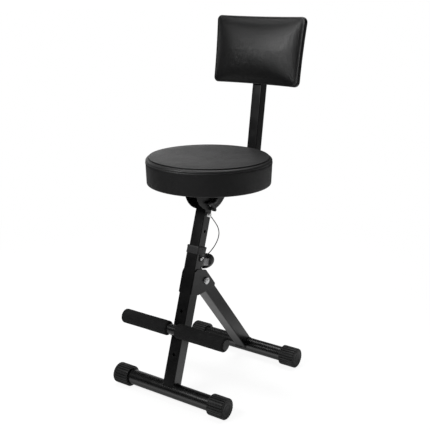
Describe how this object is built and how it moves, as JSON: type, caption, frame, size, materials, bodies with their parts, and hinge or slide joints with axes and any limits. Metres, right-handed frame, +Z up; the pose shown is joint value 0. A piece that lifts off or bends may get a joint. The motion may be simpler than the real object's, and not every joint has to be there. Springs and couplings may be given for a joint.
{
  "type": "folding guitar stool",
  "caption": "Black folding guitar stool with a round padded seat, padded backrest, foam-gripped footrest, height-adjustable leaning post and folding rear leg on rubber-capped foot bars",
  "frame": {"origin": "middle of the footprint on the floor, under the centre of the bounding box", "axes": "+Z up, +Y toward the backrest, +X along the foot bars, to the side with the lock pin"},
  "size_m": [0.372, 0.5023, 1.0084],
  "materials": {
    "black_enamel": "gloss",
    "black_leather": "satin",
    "black_foam": "matte",
    "black_rubber": "satin",
    "black_plastic": "satin",
    "grey_plastic": "satin",
    "bright_zinc": "satin",
    "steel_wire": "satin",
    "plywood": "matte",
    "nylon": "matte"
  },
  "bodies": {
    "frame": {"front_foot_tube": "black_enamel", "front_foot_cap_left": "black_rubber", "front_foot_cap_right": "black_rubber", "front_post": "black_enamel", "collar": "black_plastic", "hinge_cheek_left": "black_enamel", "hinge_cheek_right": "black_enamel", "hinge_stop_web": "black_enamel", "hinge_bolt": "bright_zinc", "hinge_nut": "bright_zinc", "clamp_boss": "grey_plastic", "footrest_bar": "black_enamel", "footrest_saddle": "black_enamel", "footrest_grip_left": "black_foam", "footrest_grip_right": "black_foam", "footrest_plug_left": "black_plastic", "footrest_plug_right": "black_plastic", "footrest_stud": "bright_zinc", "footrest_washer": "bright_zinc", "footrest_nut": "bright_zinc", "anchor_washer": "black_plastic", "anchor_screw": "bright_zinc", "lanyard": "steel_wire"},
    "rear_leg": {"rear_leg_tube": "black_enamel", "rear_foot_tube": "black_enamel", "rear_foot_cap_left": "black_rubber", "rear_foot_cap_right": "black_rubber", "hinge_bush": "nylon"},
    "seat_post": {"seat_post_tube": "black_enamel", "seat_post_guide": "black_plastic"},
    "lock_pin": {"lock_pin": "bright_zinc"},
    "seat": {"seat_cheek_left": "black_enamel", "seat_cheek_right": "black_enamel", "friction_washer_left": "nylon", "friction_washer_right": "nylon", "tilt_bolt": "bright_zinc", "tilt_washer": "bright_zinc", "seat_base_plate": "black_enamel", "seat_board": "plywood", "seat_cushion": "black_leather", "seat_screw_front_left": "bright_zinc", "seat_screw_front_right": "bright_zinc", "seat_screw_rear_left": "bright_zinc", "seat_screw_rear_right": "bright_zinc", "backrest_arm": "black_enamel", "arm_bolt_front": "bright_zinc", "arm_bolt_rear": "bright_zinc", "backrest_upright": "black_enamel", "upright_plug_top": "black_plastic", "upright_plug_bottom": "black_plastic", "backrest_screw_upper": "bright_zinc", "backrest_screw_lower": "bright_zinc", "backrest_board": "plywood", "backrest_cushion": "black_leather"},
    "tilt_knob": {"tilt_knob": "black_plastic"},
    "clamp_knob": {"clamp_knob": "black_plastic", "clamp_stud": "bright_zinc"}
  },
  "joints": [
    {"name": "rear_leg_fold", "type": "hinge", "parent": "frame", "child": "rear_leg", "pos_m": [0, -0.08811, 0.30927], "axis": [-1, 0, 0], "range_deg": [0, 54]},
    {"name": "height_slide", "type": "slide", "parent": "frame", "child": "seat_post", "axis": [0, 0.3115, 0.9502], "range_m": [-0.075, 0.075], "deforming": ["lanyard"]},
    {"name": "lock_pin_pull", "type": "slide", "parent": "seat_post", "child": "lock_pin", "axis": [1, 0, 0], "range_m": [0, 0.04], "deforming": ["lanyard"]},
    {"name": "seat_tilt", "type": "hinge", "parent": "seat_post", "child": "seat", "pos_m": [0, -0.06081, 0.5216], "axis": [1, 0, 0], "range_deg": [-10, 30]},
    {"name": "tilt_knob_turn", "type": "hinge", "parent": "seat", "child": "tilt_knob", "pos_m": [0, -0.06081, 0.5216], "axis": [1, 0, 0], "range_deg": [0, 360]},
    {"name": "clamp_knob_turn", "type": "hinge", "parent": "frame", "child": "clamp_knob", "pos_m": [0, -0.11034, 0.37051], "axis": [0, 0.9502, -0.3115], "range_deg": [0, 360]}
  ]
}
